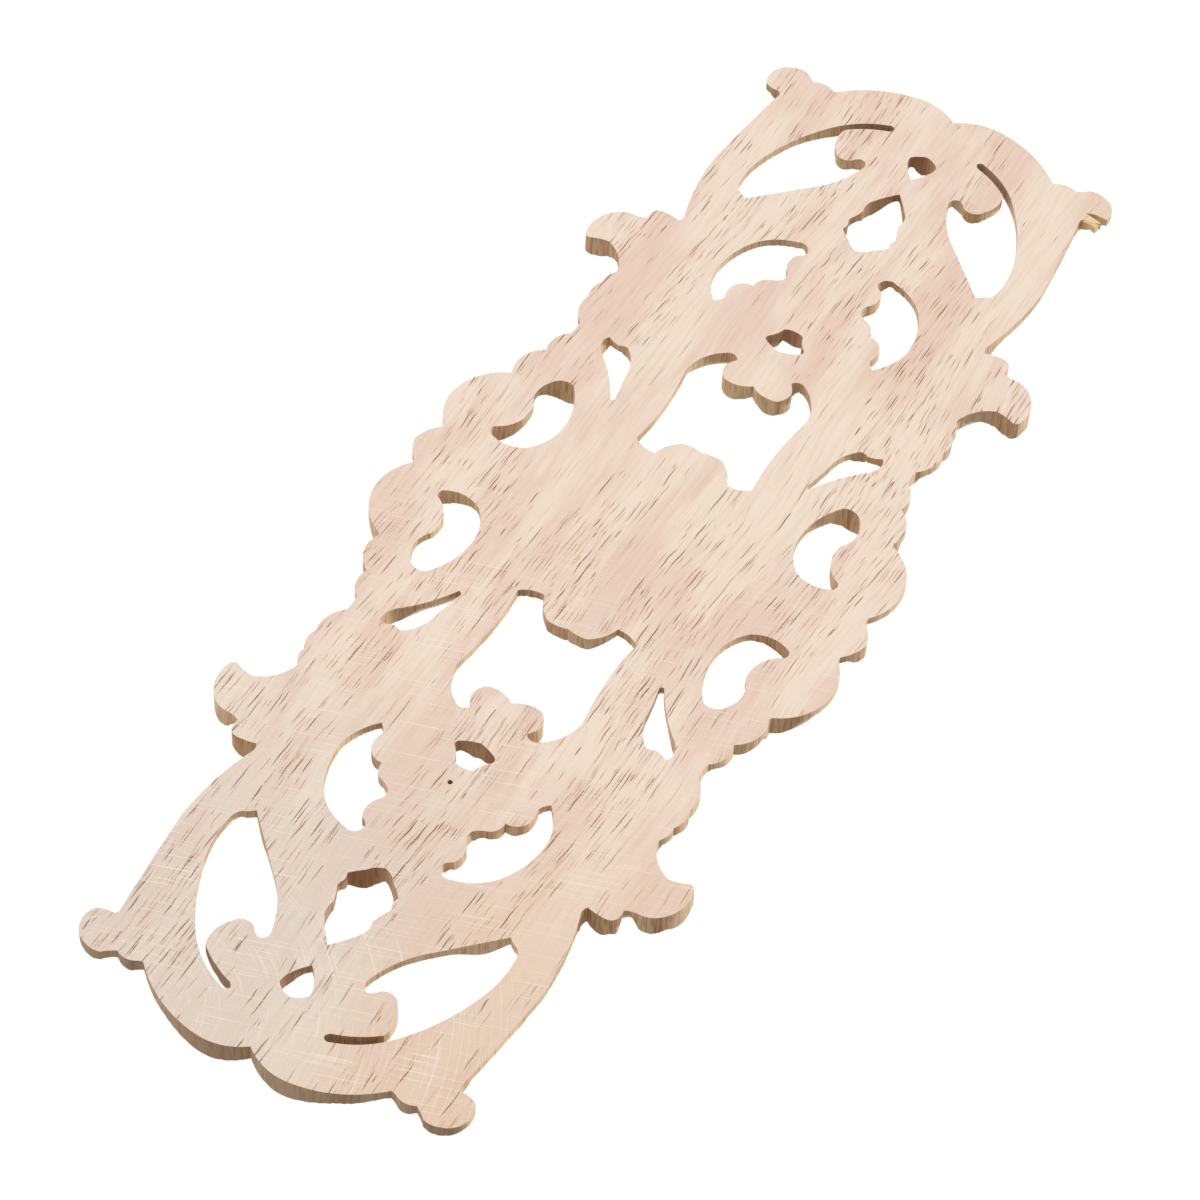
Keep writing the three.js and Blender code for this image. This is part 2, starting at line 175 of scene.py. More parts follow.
# Places where a strand is cut across, so that its edge stands higher: (x, z, reach, height).
HIGH_EDGES: dict[str, Row] = {
    "hook_tip": (71.5, 50.5, 4, 0.7),
    "hook_back": (81.5, 49.5, 4, 0.68),
    "shoulder_tooth": (86.2, 40.5, 3, 0.76),
    "leaf_tip": (36, 44.5, 3.5, 0.42),
    "outer_leaf_tip": (57, 43.5, 4, 0.38),
    "crescent_end": (30.5, 34.5, 3, 0.82),
    "crescent_tip": (11.5, 41, 4, 0.6),
    "window_corner": (24, 11, 2.6, 0.3),
    "window_tongue": (28.3, 3, 3, 0.46),
    "bud_wall": (49.5, 4.5, 3, 0.62),
    "spark_base": (62.8, 0.5, 2.4, 0.66),
    "spark_wall": (66.5, 3.2, 2.6, 0.56),
    "acorn_cap": (100.6, 2.8, 3.2, 0.8),
    "acorn_side": (113.8, 4, 2.8, 0.55),
    "diamond_wall": (129.5, 3, 2.4, 0.47),
    "end_lobe_wall": (149, 8, 9, 0.68),
    "end_lobe_side": (146, 20, 5, 0.42),
    "horn_wall": (142.8, 38.5, 3, 0.38),
    "tooth_wall": (141.3, 30.5, 2.2, 0.45),
    "teardrop_side": (103, 25.3, 3.2, 0.5),
    "eye_wall": (123.5, 16.2, 2.6, 0.4),
    "scallop_wall": (77, 15.6, 4, 0.4),
    "scallop_foot": (86, 10.6, 4, 0.4),
}

# Places where a groove between two strands runs out at the edge: (x, z, reach, height).
GROOVE_ENDS: dict[str, Row] = {
    "hook_root": (82.9, 45.0, 1.8, 0.2),
}

# Torn fibre at the root of one horn: a crack and a sliver left standing in it, as (x, z).
CRACK: Rows = [(136.5, 38.2), (137.2, 40.3), (137.0, 43.6), (135.2, 43.2)]
SLIVER: Rows = [(133.8, 38.6), (135.3, 39.2), (134.6, 42.3), (133.3, 42.0), (133.9, 40.4)]


def tint(red: int, green: int, blue: int) -> Row:
    """A paint-chart colour, 0 to 255 each, as a linear colour with full alpha."""
    return (*Color((red / 255, green / 255, blue / 255)).from_srgb_to_scene_linear(), 1.0)


# Node trees


class Value:
    """A number that varies over the wood, with the sums that a finish is written in."""

    def __init__(self, bench: "Bench", socket: Socket) -> None:
        """Wraps an output socket of the bench's tree."""
        self.bench = bench
        self.socket = socket

    def math(self, operation: str, *others: "Value | float") -> "Value":
        """The result of one Math node with this value as its first term."""
        return self.bench.value("ShaderNodeMath", dict(enumerate([self, *others])), operation=operation)

    def __add__(self, other: "Value | float") -> "Value":
        """Sum."""
        return self.math("ADD", other)

    def __mul__(self, other: "Value | float") -> "Value":
        """Product."""
        return self.math("MULTIPLY", other)

    def __sub__(self, other: "Value | float") -> "Value":
        """Difference."""
        return self.math("SUBTRACT", other)

    def __rsub__(self, other: float) -> "Value":
        """Difference from a number."""
        return self * -1 + other

    def __truediv__(self, other: "Value | float") -> "Value":
        """Quotient."""
        return self.math("DIVIDE", other)

    def __pow__(self, other: float) -> "Value":
        """Power."""
        return self.math("POWER", other)

    def largest(self, other: "Value | float") -> "Value":
        """The larger of the two."""
        return self.math("MAXIMUM", other)

    def size(self) -> "Value":
        """The value without its sign."""
        return self.math("ABSOLUTE")

    def between(self, low: float, high: float) -> "Value":
        """0 below low, 1 above high (or the other way round) and eased between them."""
        wired = {0: self, 1: low, 2: high, 3: 0.0, 4: 1.0}
        return self.bench.value("ShaderNodeMapRange", wired, interpolation_type="SMOOTHSTEP")


class Bench:
    """Where a node tree is put together: one method adds any node."""

    def __init__(self, tree: bpy.types.NodeTree) -> None:
        """Starts on an emptied tree."""
        self.tree = tree
        tree.nodes.clear()

    def add(self, kind: str, wired: Wires | None = None, **settings: Any) -> bpy.types.Node:
        """Adds a node.

        Args:
            kind: the node's type.
            wired: a value or a link for each socket, by index or name.
            settings: the node's own settings, which are made first.

        Returns:
            The node.
        """
        node = self.tree.nodes.new(kind)
        for name, setting in settings.items():
            setattr(node, name, setting)
        for key, term in (wired or {}).items():
            socket = node.inputs[key]
            links = term if isinstance(term, list) else [term.socket if isinstance(term, Value) else term]
            for one in links:
                if isinstance(one, Socket):
                    self.tree.links.new(one, socket)
                else:
                    socket.default_value = one
        return node

    def step(self, kind: str, wired: Wires | None = None, **settings: Any) -> Socket:
        """Adds a node and gives its first output."""
        return self.add(kind, wired, **settings).outputs[0]

    def value(self, kind: str, wired: Wires | None = None, output: int | str = 0, **settings: Any) -> Value:
        """Adds a node and wraps one of its outputs, the first if none is named."""
        return Value(self, self.add(kind, wired, **settings).outputs[output])

    def parts(self, vector: Socket) -> list[Value]:
        """The three parts of a vector or a colour."""
        return [Value(self, one) for one in self.add("ShaderNodeSeparateXYZ", {0: vector}).outputs]

    def mix(self, factor: Value, one: Any, other: Any) -> Socket:
        """Blends two colours: the first at 0, the other at 1."""
        return self.add("ShaderNodeMix", {0: factor, 6: one, 7: other}, data_type="RGBA").outputs[2]

    def layered(self, base: Socket, layers: list[tuple[Value, Row]]) -> Socket:
        """Lays colours over a base in turn, each as strongly as its own value says."""
        for strength, colour in layers:
            base = self.mix(strength, base, colour)
        return base


@dataclass(frozen=True)
class Pattern:
    """A soft pattern in the wood: how fast it changes each way, per millimetre, and its eased range."""

    along: float
    across: float
    low: float = 0.0
    high: float = 1.0
    shift: float = 0.0
    through: float | None = None
    detail: float = 1.0
    rough: float = 0.5


@dataclass(frozen=True)
class Vessel:
    """Sizes of one kind of cut vessel, in millimetres, and how rare it is, from 0 to 1."""

    cell_long: float
    cell_wide: float
    half_long: float
    half_wide: float
    rare: float
    shift: float = 0.0
    shortest: float = 0.2
    rare_ease: float = 0.4


DRIFT = Pattern(0.014, 0.05)
DRIFT_WIDTH = 6.0
WOBBLE = Pattern(0.3, 0.3, detail=0.0)
WOBBLE_WIDTH = 0.3


class WoodBench(Bench):
    """A bench for the finishes of the wood, which share its grain."""

    def __init__(self, material: bpy.types.Material) -> None:
        """Lays out the place on the piece in millimetres, and the run of the fibres."""
        material.use_nodes = True
        super().__init__(material.node_tree)
        self.coordinates = self.add("ShaderNodeTexCoord")
        place = self.parts(self.coordinates.outputs["Object"])
        self.x, self.y, self.z = (part * (1 / MM) for part in place)
        drift = self.noise(DRIFT, self.x, self.z) * DRIFT_WIDTH
        self.across = self.z + drift + self.noise(WOBBLE, self.x, self.z) * WOBBLE_WIDTH

    def noise(self, pattern: Pattern, u: Value, v: Value) -> Value:
        """Soft noise, from 0 to 1 with most of it near 0.5.

        Args:
            pattern: how fast it changes; its eased range has no part in this.
            u: the place along.
            v: the place across.

        Returns:
            The noise.
        """
        terms = [u * pattern.along, v * pattern.across + pattern.shift]
        if pattern.through is not None:
            terms.insert(1, self.y * pattern.through)
        wired = {
            "Vector": self.step("ShaderNodeCombineXYZ", dict(enumerate(terms))),
            "Scale": 1.0, "Detail": pattern.detail, "Roughness": pattern.rough,
        }
        return self.value("ShaderNodeTexNoise", wired, "Fac", noise_dimensions=f"{len(terms)}D")

    def eased(self, pattern: Pattern, u: Value, v: Value) -> Value:
        """The same noise, eased from 0 to 1 over the pattern's range."""
        return self.noise(pattern, u, v).between(pattern.low, pattern.high)

    def dashes(self, vessel: Vessel, gathered: Value) -> tuple[Value, Value]:
        """Thin dashes along the grain, as cut vessels show: at most one to each cell of the wood.

        Args:
            vessel: the vessels' sizes.
            gathered: from -0.5 to 0.5, more where more of the cells have a dash.

        Returns:
            0 off the dashes and 1 on them, and the same for a soft ring round each.
        """
        u, v = self.x / vessel.cell_long + vessel.shift, self.across / vessel.cell_wide
        place = self.step("ShaderNodeCombineXYZ", {0: u, 1: v})
        cell = self.add("ShaderNodeTexVoronoi", {"Vector": place, "Scale": 1.0}, voronoi_dimensions="2D")
        centre_u, centre_v, _ = self.parts(cell.outputs["Position"])
        chance, length, _ = self.parts(cell.outputs["Color"])
        off_u = (u - centre_u) * (vessel.cell_long / vessel.half_long)
        off_u = off_u / (length * (1 - vessel.shortest) + vessel.shortest)
        off_v = (v - centre_v) * (vessel.cell_wide / vessel.half_wide)
        off = off_u * off_u + off_v * off_v
        there = (chance + gathered).between(vessel.rare, vessel.rare + vessel.rare_ease)
        # The offset is squared: 1 on the dash's own edge, and 7 on the outer edge of its ring.
        return off.between(1.0, 0.3) * there, off.between(7.0, 0.5) * there

    def near(self, x: float, z: float, reach: float) -> Value:
        """1 at a place on the drawing, eased to 0 at a reach from it."""
        off_x, off_z = self.x - x, self.z - z
        return ((off_x * off_x + off_z * off_z) ** 0.5).between(reach, 0.0)

    def finish(self, colour: Socket, rough: float, height: Value, depth: float) -> None:
        """Joins colour, roughness and bump height in the shader."""
        bump = self.step("ShaderNodeBump", {"Strength": 1.0, "Distance": depth, "Height": height})
        shader = self.step("ShaderNodeBsdfPrincipled", {
            "Base Color": colour, "Roughness": rough, "Normal": bump,
            "IOR": 1.45, "Specular IOR Level": 0.28,
        })
        self.add("ShaderNodeOutputMaterial", {0: shader})


# Finishes of the wood


@dataclass(frozen=True)
class WoodTones:
    """The colours of the bare wood, from its palest band to its open vessels, with the colours painted as
    shade.
    """

    cream: tuple = tint(245, 227, 209)
    blush: tuple = tint(236, 206, 188)
    beige: tuple = tint(220, 210, 199)
    golden: tuple = tint(228, 198, 172)
    vessel: tuple = tint(190, 138, 98)
    dark_vessel: tuple = tint(126, 76, 42)
    scratch: tuple = tint(250, 240, 226)
    sawn: tuple = tint(236, 208, 170)
    sawn_deep_and_shade: tuple = tint(160, 118, 80)
    end_wall_shade: tuple = tint(146, 122, 100)
    small_hole_shade: tuple = tint(134, 78, 42)
    torn: tuple = tint(243, 217, 158)


TONES = WoodTones()
TORN_PLACE = (135.2, 41.0)


FINE = Vessel(7.4, 0.9, 3.4, 0.1, 0.43)
DARK = Vessel(10.5, 1.6, 5.0, 0.13, 0.5, 40.0)


@dataclass(frozen=True)
class Finish:
    """A finish of the wood: its name, its roughness and how deep its bump goes, in metres."""

    name: str
    roughness: float
    relief: float

    def look(self, bench: WoodBench) -> tuple[Socket, Value]:
        """Its colour and the height of its bump."""
        raise NotImplementedError

    def material(self) -> bpy.types.Material:
        """Builds the finish."""
        material = bpy.data.materials.new(self.name)
        bench = WoodBench(material)
        colour, height = self.look(bench)
        bench.finish(colour, self.roughness, height, self.relief)
        return material


@dataclass(frozen=True)
class SandedBack(Finish):
    """The flat back: bare wood, sanded across the grain, with its vessels open."""

    name: str = "sanded_back"
    roughness: float = 0.62
    relief: float = 0.00005
    band: Pattern = Pattern(0.016, 0.07, 0.38, 0.64, detail=3.0, rough=0.6)
    fibre: Pattern = Pattern(0.07, 1.3, 0.34, 0.76, shift=7.0, detail=2.0)
    gathering: Pattern = Pattern(0.012, 0.085, 0.32, 0.68, shift=3.0)
    rubbing: Pattern = Pattern(0.025, 0.04, shift=11.0)
    stroke: Pattern = Pattern(3.0, 0.05, 0.64, 0.74, shift=5.0)
    stroke_way: Row = (0.3, 0.954)
    arc: Pattern = Pattern(2.6, 1.8, 0.63, 0.76)
    arc_centre: Row = (-152.0, -26.0)

    def lower(self, bench: WoodBench) -> Value:
        """0 over the upper two thirds of the piece and 1 at its lower end."""
        return bench.x.between(-41.67, -125.0)

    def tone(self, bench: WoodBench) -> Socket:
        """The wood before its vessels: bands and fibre, with its lower end darker, half golden and half dull,
        partly as the wood's own tone and partly as painted shade.
        """
        base = bench.mix(bench.eased(self.band, bench.x, bench.across) * 0.75, TONES.cream, TONES.blush)
        lower, golden_side = self.lower(bench), bench.z.between(-4.0, 28.0)
        return bench.layered(base, [
            (bench.eased(self.fibre, bench.x, bench.across) * 0.14, TONES.vessel),
            # Partly painted shade: the lower end is darkened, golden on one side and beige on the other.
            (lower * golden_side * 0.6, TONES.golden),
            (lower * (1 - golden_side) * 0.5, TONES.beige),
        ])

    def vessels(self, bench: WoodBench) -> tuple[Value, Value, Value]:
        """Fine and dark vessels, gathered in bands with clean wood between them, and a glow round both."""
        gathered = bench.eased(self.gathering, bench.x, bench.across) - 0.5
        fine, round_fine = bench.dashes(FINE, gathered * 0.8)
        dark, round_dark = bench.dashes(DARK, gathered * 0.6 + self.lower(bench) * 0.12)
        return fine, dark, round_fine.largest(round_dark)

    def scratches(self, bench: WoodBench) -> tuple[Value, Value]:
        """Sanding scratches: straight ones across the grain, and arcs near the lower end."""
        rubbed = bench.noise(self.rubbing, bench.x, bench.z)
        where = (bench.x * -0.012 + rubbed * 0.9 - 0.25).between(0.0, 0.55)
        way_x, way_z = self.stroke_way
        beside, along = bench.x * way_z - bench.z * way_x, bench.x * way_x + bench.z * way_z
        straight = bench.eased(self.stroke, beside, along) * where
        from_x, from_z = bench.x - self.arc_centre[0], bench.z - self.arc_centre[1]
        radius = (from_x * from_x + from_z * from_z) ** 0.5
        arcs = bench.eased(self.arc, radius, from_x.math("ARCTAN2", from_z))
        return straight, arcs * bench.x.between(-96.0, -116.0)

    def look(self, bench: WoodBench) -> tuple[Socket, Value]:
        """Its colour, and a height that drops in the dark vessels and the scratches."""
        fine, dark, glow = self.vessels(bench)
        straight, arcs = self.scratches(bench)
        colour = bench.layered(self.tone(bench), [
            (glow * 0.14, TONES.vessel),
            (fine * 0.75, TONES.vessel),
            (dark * 0.85, TONES.dark_vessel),
            (straight * 0.5 + arcs * 0.45, TONES.scratch),
            (bench.near(*TORN_PLACE, 6.0) * 0.45, TONES.torn),
        ])
        return colour, 1 - dark * 0.8 - straight * 0.3


@dataclass(frozen=True)
class SawnWall(Finish):
    """The sawn edges: golden, darker where they face along the piece, partly as end grain and partly as
    painted shade, greyer with painted shade on the walls at both ends, and dark with painted shade in the
    small middle holes.
    """

    name: str = "sawn_wall"
    roughness: float = 0.8
    relief: float = 0.00015
    saw_lines: Pattern = Pattern(2.1, 2.1, 0.38, 0.75, through=0.16)
    patch: Pattern = Pattern(0.09, 0.09, 0.35, 0.68, shift=5.0)

    def look(self, bench: WoodBench) -> tuple[Socket, Value]:
        """Its colour, and a height that follows the saw's upright lines."""
        from_middle = bench.x.size()
        end_grain_and_shade = bench.parts(bench.coordinates.outputs["Normal"])[0].size()
        lines = bench.noise(self.saw_lines, bench.x, bench.z)
        patch = bench.eased(self.patch, bench.x, bench.z)
        small_hole = bench.z.size().between(9.0, 4.5) * (from_middle - 97.0).size().between(44.0, 36.0)
        # Walls facing along the piece are darkened, partly for their end grain and partly as painted shade.
        deep = lines.between(self.saw_lines.low, self.saw_lines.high) * 0.4 + patch * 0.3 + end_grain_and_shade * 0.45
        colour = bench.layered(bench.mix(deep, TONES.sawn, TONES.sawn_deep_and_shade), [
            # Painted shade: the end walls near both ends are laid over with a greyer, darker brown.
            (end_grain_and_shade * from_middle.between(128.0, 142.0) * 0.6, TONES.end_wall_shade),
            # Painted shade: the walls inside the small middle holes are darkened, as the shade deep in them.
            (small_hole * (patch * 0.25 + 0.35), TONES.small_hole_shade),
            (bench.near(*TORN_PLACE, 5.0) * 0.8, TONES.torn),
        ])
        return colour, lines


@dataclass(frozen=True)
class CarvedFace(Finish):
    """The carved front: bare wood, smooth on the crowns, with painted shade darkening it down in the cuts."""

    name: str = "carved_face"
    roughness: float = 0.58
    relief: float = 0.00006

    def look(self, bench: WoodBench) -> tuple[Socket, Value]:
        """Its colour, and a height that drops in the dark vessels."""
        back = SandedBack()
        fine, dark, _ = back.vessels(bench)
        hollow = bench.value("ShaderNodeAttribute", output="Fac", attribute_name=HOLLOW_SHADE)
        colour = bench.layered(back.tone(bench), [
            (fine * 0.55, TONES.vessel),
            (dark * 0.7, TONES.dark_vessel),
            # Painted shade: the hollows of the carving are darkened in the colour itself.
            (hollow * 0.5, TONES.sawn_deep_and_shade),
        ])
        return colour, 1 - dark * 0.8


# The drawing


def arcs(rows: Rows, facet: float) -> Array:
    """Traces an outline of arcs.

    Args:
        rows: the outline's rows.
        facet: how far a facet may stand off its arc, in millimetres.

    Returns:
        The points in order, one row each.
    """
    points = [np.array(rows[0][:2], float)]
    for x, z, rise in rows[1:]:
        start, end = points[-1], np.array((x, z), float)
        chord = float(np.linalg.norm(end - start))
        way = (end - start) / chord
        left = np.array((-way[1], way[0]))
        height = abs(rise)
        steps = max(1, math.ceil(chord / LONGEST_FACET), round(math.sqrt(height / facet)))
        for k in range(1, steps + 1):
            share = k / steps
            if height == 0:
                points.append(start + (end - start) * share)
                continue
            radius = (chord * chord / 4 + height * height) / (2 * height)
            drop = radius - height
            angle = math.atan2(chord / 2, drop) * (2 * share - 1)
            along = chord / 2 + radius * math.sin(angle)
            off = math.copysign(1, rise) * (radius * math.cos(angle) - drop)
            points.append(start + way * along + left * off)
    return np.array(points)


def smooth_line(rows: Rows, steps: int) -> Array:
    """A smooth line through rows, column by column.

    Args:
        rows: the places that it passes, with anything else that changes along it.
        steps: points for each span.

    Returns:
        The points in order, one row each, with every column of the rows.
    """
    keys = np.array(rows, float)
    padded = np.vstack([keys[0], keys, keys[-1]])
    out = []
    for i in range(len(keys) - 1):
        p0, p1, p2, p3 = padded[i:i + 4]
        for t in np.arange(steps) / steps:
            bend = (2 * p0 - 5 * p1 + 4 * p2 - p3) * t * t + (3 * p1 - p0 - 3 * p2 + p3) * t ** 3
            out.append(0.5 * (2 * p1 + (p2 - p0) * t + bend))
    out.append(keys[-1])
    return np.array(out)


@dataclass
class Nearest:
    """How a field of places lies to a line: how far off, on which side, and how far along."""

    distance: Array
    side: Array
    at: Array

    @classmethod
    def to(cls, line: Array, x: Array, z: Array) -> "Nearest":
        """Finds it.

        Args:
            line: the line's points, their place first.
            x: places along the piece.
            z: places across the piece.

        Returns:
            The distances, signed offsets and places along, in points of the line.
        """
        best = cls(np.full(x.shape, np.inf), np.zeros(x.shape), np.zeros(x.shape))
        for i in range(1, len(line)):
            ax, az = line[i - 1][:2]
            dx, dz = line[i][0] - ax, line[i][1] - az
            span = dx * dx + dz * dz
            if span == 0:
                continue
            share = np.clip(((x - ax) * dx + (z - az) * dz) / span, 0, 1)
            off_x, off_z = x - ax - dx * share, z - az - dz * share
            distance = np.hypot(off_x, off_z)
            closer = distance < best.distance
            best.distance = np.where(closer, distance, best.distance)
            cross = (dx * off_z - dz * off_x) / math.sqrt(span)
            best.side = np.where(closer, np.where(cross < 0, -distance, distance), best.side)
            best.at = np.where(closer, i - 1 + share, best.at)
        return best


@dataclass(frozen=True)
class Rosette:
    """The ring and the cuts between petals of the centre boss, in millimetres."""

    depth: float = 0.9
    ring: float = 5.0
    ring_width: float = 0.8
    petals: int = 10
    petal_cut: float = 0.24
    petals_from: float = 5.4
    ease: float = 1.5


@dataclass(frozen=True)
class Turns:
    """The spiral cut into the other round knobs: millimetres, and shares of their radius."""

    depth: float = 0.6
    pitch: float = 0.62
    width: float = 0.13
    start: float = 0.9
    ease: float = 0.8
    end: float = 0.94


@dataclass
class Carving:
    """The carved front on a grid: places along, places across and heights, in millimetres."""

    xs: Array
    zs: Array
    heights: Array


@dataclass
class FrontRelief:
    """The carved front as heights over the flat back, in millimetres."""

    thickness: float = 8.0
    edge: float = 1.8
    thinnest: float = 1.1
    ground_rise: float = 0.9
    ground_reach: float = 3.0
    worn_edge: float = 0.25
    worn_reach: float = 0.3
    ease: float = 0.22
    channel_depth: float = 0.4
    channel_width: float = 0.42
    midrib_depth: float = 0.2
    midrib_width: float = 0.13
    line_steps: int = 9
    rosette: Rosette = Rosette()
    turns: Turns = Turns()
    marks: tuple[Row, ...] = ((5.0, 0.07), (2.2, 0.045))
    marks_span: float = 400.0
    marks_seed: int = 11

    def section(self, style: Section, share: Array) -> Array:
        """Height across a strand, from 0 at its sides to 1 at its crown.

        Args:
            style: how the strand is cut.
            share: distance off its middle line over its half width, signed.

        Returns:
            The height's share.
        """
        off = np.minimum(1, np.abs(share))
        if style is Section.CHANNEL:
            return (1 - off ** 2) ** 0.5 * (1 - self.channel_depth * np.exp(-(off / self.channel_width) ** 2))
        dome = (1 - off ** 2) ** 0.7
        if style is Section.LEAF:
            return dome * (1 - self.midrib_depth * np.exp(-(off / self.midrib_width) ** 2))
        return dome

    def raised(self, crown: Array | float, share: Array) -> Array:
        """Height at a share of the way from the thin edge up to a crown."""
        return self.edge + (crown * self.thickness - self.edge) * share

    def knob(self, name: str, x: Array, z: Array) -> Array:
        """Heights of one round knob, with its turns or petals cut in."""
        cx, cz, radius, crown = KNOBS[name]
        off_x, off_z = x - cx, z - cz
        reach, angle = np.hypot(off_x, off_z), np.arctan2(off_z, off_x)
        share = np.minimum(1, reach / radius)
        height = self.raised(crown, (1 - share ** 2) ** 0.7)
        if name == "boss":
            cuts = self.rosette
            ring = np.exp(-((reach - cuts.ring) / cuts.ring_width) ** 2)
            petal = np.exp(-(np.cos(cuts.petals / 2 * angle) / cuts.petal_cut) ** 2)
            petal = petal * np.clip((reach - cuts.petals_from) / cuts.ease, 0, 1)
            return height - cuts.depth * (ring + petal) * (share < 1)
        cuts = self.turns
        phase = (reach / (radius * cuts.pitch) - angle / math.tau) % 1
        groove = np.exp(-((phase - 0.5) / cuts.width) ** 2)
        groove = groove * np.clip((reach - cuts.start) / cuts.ease, 0, 1)
        return height - cuts.depth * groove * (share < cuts.end)

    def quarter(self, x: Array, z: Array, edges: list[Array]) -> Array:
        """Heights in one quarter of the piece.

        Args:
            x: places along the piece, 0 or more.
            z: places across the piece, 0 or more.
            edges: the outlines of the quarter.

        Returns:
            The heights.
        """
        to_edge = np.min([Nearest.to(line, x, z).distance for line in edges], axis=0)
        rim = np.full(x.shape, self.edge)
        for cx, cz, reach, crown in HIGH_EDGES.values():
            away = np.hypot(x - cx, z - cz) / reach
            rim = np.maximum(rim, self.raised(crown, np.exp(-away * away / 2)))
        height = rim + self.ground_rise * np.minimum(1, to_edge / self.ground_reach)
        for style, rows in STRANDS.values():
            line = smooth_line(rows, self.line_steps)
            near = Nearest.to(line, x, z)
            low = np.minimum(len(line) - 2, np.floor(near.at)).astype(int)
            part = near.at - low
            half, crown = (line[low, k] * (1 - part) + line[low + 1, k] * part for k in (2, 3))
            height = self.eased(height, self.raised(crown, self.section(style, near.side / half)))
        for name in KNOBS:
            height = self.eased(height, self.knob(name, x, z))
        for cx, cz, reach, share in GROOVE_ENDS.values():
            away = np.hypot(x - cx, z - cz) / reach
            height = height + (np.minimum(height, share * self.thickness) - height) * np.exp(-away ** 4)
        return height - self.worn_edge * np.exp(-to_edge / self.worn_reach)

    def eased(self, one: Array, other: Array) -> Array:
        """The larger of two heights, eased a little where they meet."""
        overlap = np.maximum(0, self.ease - np.abs(one - other)) / self.ease
        return np.maximum(one, other) + overlap * overlap * self.ease / 4

    def tool_marks(self, x: Array, z: Array) -> Array:
        """Shallow unevenness left by the gouge, which differs from quarter to quarter."""
        random = np.random.default_rng(self.marks_seed)
        marks = np.zeros(x.shape)
        for pitch, depth in self.marks:
            across = int(self.marks_span / pitch) + 3
            lattice = random.uniform(-1, 1, (across, across))
            u, v = x / pitch + across / 2, z / pitch + across / 2
            i, j = np.floor(u).astype(int), np.floor(v).astype(int)
            a, b = u - i, v - j
            a, b = a * a * (3 - 2 * a), b * b * (3 - 2 * b)
            near = lattice[i, j] * (1 - a) + lattice[i + 1, j] * a
            far = lattice[i, j + 1] * (1 - a) + lattice[i + 1, j + 1] * a
            marks += depth * (near * (1 - b) + far * b)
        return marks


@dataclass
class GroupTree:
    """A Geometry Nodes tree with named inputs, and the steps to run it on a mesh."""

    name: str
    sizes: dict[str, float] = field(default_factory=dict)

    def __post_init__(self) -> None:
        """Makes the empty tree with its inputs and its two ends."""
        self.tree = bpy.data.node_groups.new(self.name, "GeometryNodeTree")
        face = self.tree.interface
        face.new_socket("Geometry", in_out="INPUT", socket_type="NodeSocketGeometry")
        self.keys: dict[str, str] = {}
        for label, value in self.sizes.items():
            socket = face.new_socket(label, in_out="INPUT", socket_type="NodeSocketFloat")
            socket.default_value = value
            self.keys[label] = socket.identifier
        face.new_socket("Geometry", in_out="OUTPUT", socket_type="NodeSocketGeometry")
        self.bench = Bench(self.tree)
        self.start = self.bench.add("NodeGroupInput")

    def end(self, geometry: Socket, finishes: dict[bpy.types.Material, Value | bool]) -> None:
        """Closes the tree: real geometry, its finishes, and out.

        Args:
            geometry: what the tree has made.
            finishes: each finish with the faces that take it, in turn.
        """
        real = self.bench.step("GeometryNodeRealizeInstances", {0: geometry})
        for material, faces in finishes.items():
            wired = {0: real, "Selection": faces, "Material": material}
            real = self.bench.step("GeometryNodeSetMaterial", wired)
        self.bench.add("NodeGroupOutput", {0: real})

    def run(self, source: Thing, name: str) -> Thing:
        """Runs the tree on an object.

        Args:
            source: what the tree starts from; it is removed.
            name: the new object's name.

        Returns:
            A plain mesh object with the result.
        """
        modifier = source.modifiers.new(self.name, "NODES")
        modifier.node_group = self.tree
        for label, value in self.sizes.items():
            modifier[self.keys[label]] = value
        return plain_copy(source, name)


def placed(name: str, data: bpy.types.ID) -> Thing:
    """A new object in the scene for a mesh, a light or a camera."""
    made = bpy.data.objects.new(name, data)
    bpy.context.scene.collection.objects.link(made)
    return made


def plain_copy(source: Thing, name: str) -> Thing:
    """An object's evaluated mesh as a new plain object; the source is removed."""
    graph = bpy.context.evaluated_depsgraph_get()
    graph.update()
    mesh = bpy.data.meshes.new_from_object(source.evaluated_get(graph), depsgraph=graph)
    mesh.name = name
    bpy.data.objects.remove(source)
    return placed(name, mesh)


def new_object(name: str, points: Any, lines: Any, faces: Any) -> Thing:
    """An object from points, edges and faces, in the scene."""
    mesh = bpy.data.meshes.new(name)
    mesh.from_pydata(points, lines, faces)
    mesh.update()
    return placed(name, mesh)


def open_lines(name: str, runs: list[Array]) -> Thing:
    """An object of open lines, one through each run of points."""
    starts = np.cumsum([0, *(len(run) for run in runs)]).tolist()
    lines = [(i, i + 1) for first, end in zip(starts, starts[1:]) for i in range(first, end - 1)]
    return new_object(name, np.concatenate(runs).tolist(), lines, [])


def read(items: Any, name: str, width: int = 1, kind: type = np.float32) -> Array:
    """One property of a mesh's items as an array, a row each where it has more parts than one."""
    values = np.zeros(len(items) * width, kind)
    items.foreach_get(name, values)
    return values.reshape(-1, width) if width > 1 else values


class Cut(Enum):
    """How one solid is worked with another."""

    KEEP_COMMON = "INTERSECT"
    TAKE_AWAY = "DIFFERENCE"
    ADD = "UNION"


def worked(solid: Thing, tool: Thing, cut: Cut) -> Thing:
    """Works one closed solid with another, and removes both.

    Args:
        solid: the solid that is worked.
        tool: the solid that works it.
        cut: what is kept.

    Returns:
        The result.
    """
    name = solid.name
    solid.name = name + "_raw"
    modifier = solid.modifiers.new("work", "BOOLEAN")
    modifier.operation = cut.value
    modifier.solver = "MANIFOLD"
    modifier.material_mode = "TRANSFER"
    modifier.object = tool
    made = plain_copy(solid, name)
    bpy.data.objects.remove(tool)
    return made


# The piece


